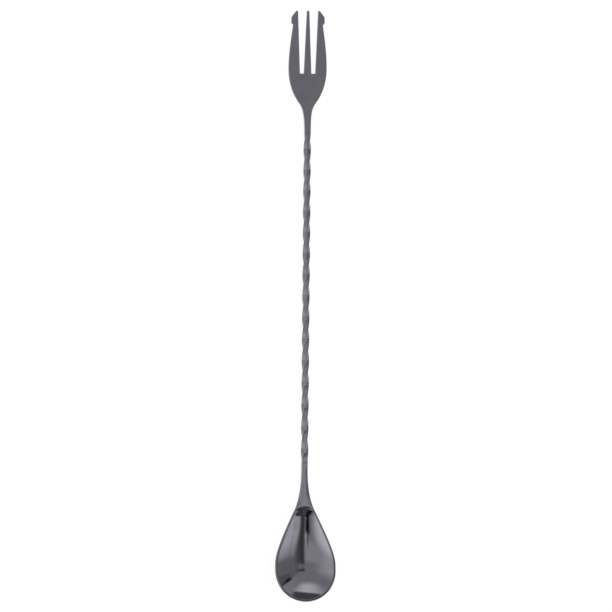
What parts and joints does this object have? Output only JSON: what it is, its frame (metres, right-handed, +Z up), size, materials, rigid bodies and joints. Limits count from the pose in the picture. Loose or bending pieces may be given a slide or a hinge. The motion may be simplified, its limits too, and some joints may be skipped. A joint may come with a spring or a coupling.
{
  "type": "bar spoon",
  "caption": "Long cocktail stirring spoon with a teardrop bowl, a twisted square stem and a flat fork with hooked outer tines at the other end.",
  "frame": {"origin": "on the surface that the spoon lies on, under the middle of its bounding box", "axes": "+Y runs along the spoon from the bowl to the fork, +Z is up out of the open bowl, and +X is to the right when looking along +Y"},
  "size_m": [0.0328, 0.3154, 0.0119],
  "materials": {
    "black_nickel": "stainless steel, mirror polished and plated dark gunmetal grey"
  },
  "bodies": {
    "root": {"spoon_bowl": "black_nickel", "twisted_stem": "black_nickel", "fork_head": "black_nickel", "bowl_end_braze": "black_nickel", "fork_end_braze": "black_nickel"}
  },
  "joints": []
}
